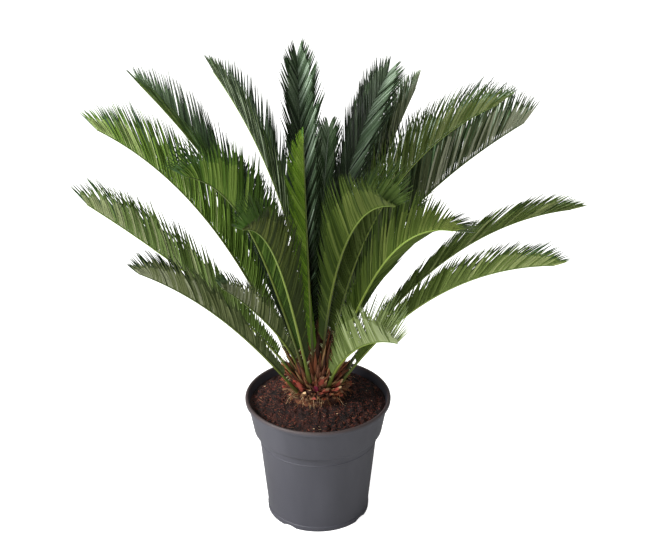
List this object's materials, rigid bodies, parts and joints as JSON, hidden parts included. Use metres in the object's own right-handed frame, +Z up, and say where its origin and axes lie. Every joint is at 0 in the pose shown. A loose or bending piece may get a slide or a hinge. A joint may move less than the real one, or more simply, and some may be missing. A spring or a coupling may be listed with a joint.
{
  "type": "potted sago palm",
  "caption": "Sago palm in a round tapered nursery pot: a short scaly trunk in soil with a full crown of arching, feather-shaped fronds.",
  "frame": {"origin": "centre of the pot's flat underside", "axes": "+Z up along the pot's axis; +X to the right and +Y away from the viewer, as seen from the front"},
  "size_m": [0.6077, 0.5528, 0.6318],
  "materials": {
    "pot_plastic": "satin",
    "soil": "matte",
    "trunk": "matte",
    "leaf": "satin"
  },
  "bodies": {
    "root": {"pot": "pot_plastic", "soil": "soil", "trunk": "trunk", "frond_01": "leaf", "frond_02": "leaf", "frond_03": "leaf", "frond_04": "leaf", "frond_05": "leaf", "frond_06": "leaf", "frond_07": "leaf", "frond_08": "leaf", "frond_09": "leaf", "frond_10": "leaf", "frond_11": "leaf", "frond_12": "leaf", "frond_13": "leaf", "frond_14": "leaf", "frond_15": "leaf", "frond_16": "leaf", "frond_17": "leaf", "frond_18": "leaf", "frond_19": "leaf", "frond_20": "leaf", "frond_21": "leaf", "frond_22": "leaf", "frond_23": "leaf", "frond_24": "leaf", "frond_25": "leaf", "frond_26": "leaf", "frond_27": "leaf"}
  },
  "joints": []
}
